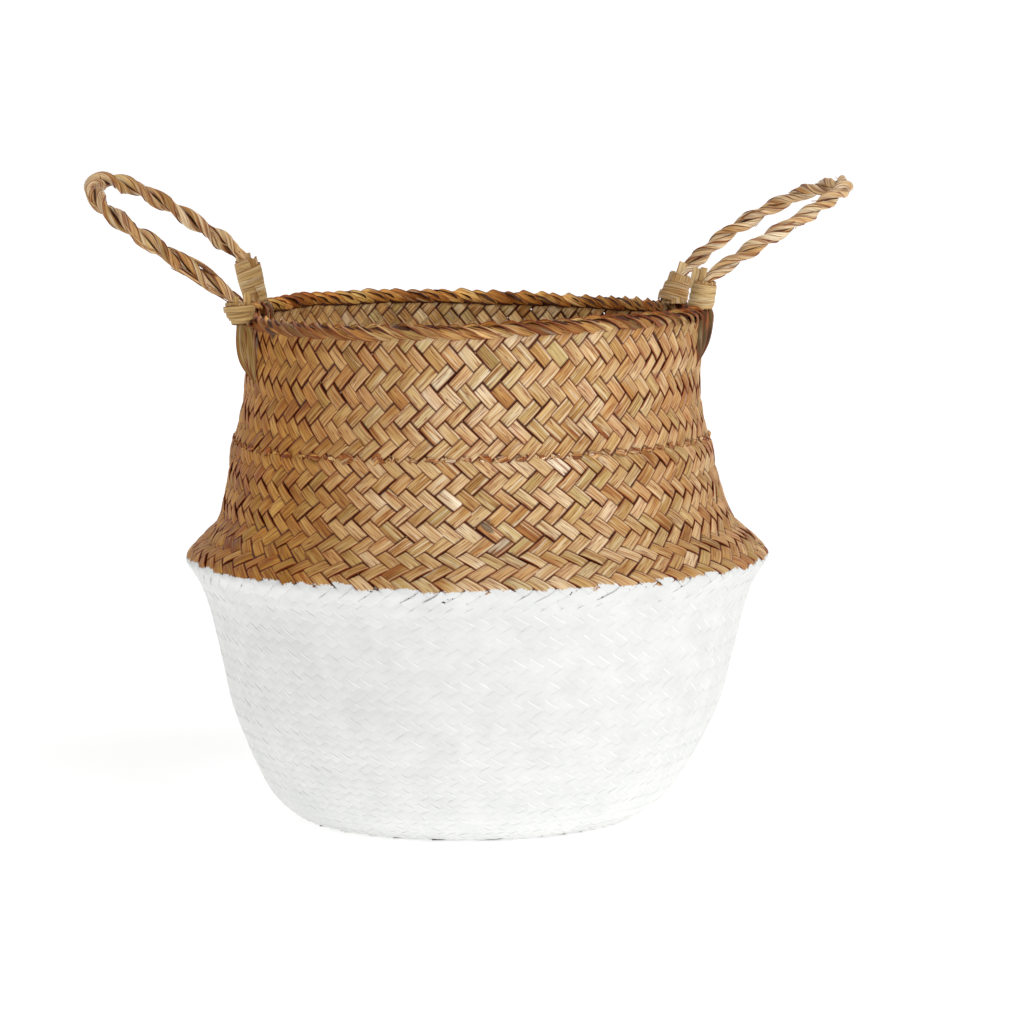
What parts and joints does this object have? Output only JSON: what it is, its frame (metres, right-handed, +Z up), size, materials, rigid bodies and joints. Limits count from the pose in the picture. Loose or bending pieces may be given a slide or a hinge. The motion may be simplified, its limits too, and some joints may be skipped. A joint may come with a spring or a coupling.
{
  "type": "belly basket",
  "caption": "Round belly basket plaited from seagrass strips, with a white painted lower half, a folded plaited border and twisted carrying handles bound on at the mouth.",
  "frame": {"origin": "on the floor, under the middle of the mouth", "axes": "+X from the left handle to the right handle, -Y the front in the picture, +Z up"},
  "size_m": [0.4191, 0.32, 0.3527],
  "materials": {
    "painted_seagrass": "matt white water-based paint on plaited seagrass",
    "natural_seagrass": "natural dried seagrass, slight silk sheen along the fibres",
    "border_seagrass": "natural dried seagrass, golden brown, folded strips",
    "strand_seagrass": "twisted dried seagrass leaves, creased, slight sheen",
    "binding_seagrass": "flat wound strip, smooth straw colour"
  },
  "bodies": {
    "basket": {"floor_plait": "painted_seagrass", "painted_bowl": "painted_seagrass", "upper_wall": "natural_seagrass", "rim_border": "border_seagrass", "left_back_bundle": "strand_seagrass", "left_back_binding": "binding_seagrass", "left_back_outer_tail_a": "natural_seagrass", "left_back_inner_tail_a": "natural_seagrass", "left_back_outer_tail_b": "natural_seagrass", "left_back_inner_tail_b": "natural_seagrass", "left_back_cut_ends": "binding_seagrass", "left_front_bundle": "strand_seagrass", "left_front_binding": "binding_seagrass", "left_front_outer_tail_a": "natural_seagrass", "left_front_inner_tail_a": "natural_seagrass", "left_front_outer_tail_b": "natural_seagrass", "left_front_inner_tail_b": "natural_seagrass", "left_front_cut_ends": "binding_seagrass", "right_back_bundle": "strand_seagrass", "right_back_binding": "binding_seagrass", "right_back_outer_tail_a": "natural_seagrass", "right_back_inner_tail_a": "natural_seagrass", "right_back_outer_tail_b": "natural_seagrass", "right_back_inner_tail_b": "natural_seagrass", "right_back_cut_ends": "binding_seagrass", "right_front_bundle": "strand_seagrass", "right_front_binding": "binding_seagrass", "right_front_outer_tail_a": "natural_seagrass", "right_front_inner_tail_a": "natural_seagrass", "right_front_outer_tail_b": "natural_seagrass", "right_front_inner_tail_b": "natural_seagrass", "right_front_cut_ends": "binding_seagrass"},
    "left_handle": {"left_handle_strand_a": "strand_seagrass", "left_handle_strand_b": "strand_seagrass"},
    "right_handle": {"right_handle_strand_a": "strand_seagrass", "right_handle_strand_b": "strand_seagrass"}
  },
  "joints": [
    {"name": "left_handle_swing", "type": "hinge", "parent": "basket", "child": "left_handle", "pos_m": [-0.13109, -0.00476, 0.2979], "axis": [-0.0189, 0.9709, 0.2386], "range_deg": [-65, 80]},
    {"name": "right_handle_swing", "type": "hinge", "parent": "basket", "child": "right_handle", "pos_m": [0.12281, 0.01154, 0.29609], "axis": [0.1165, -0.9929, 0.0231], "range_deg": [-65, 80]}
  ]
}
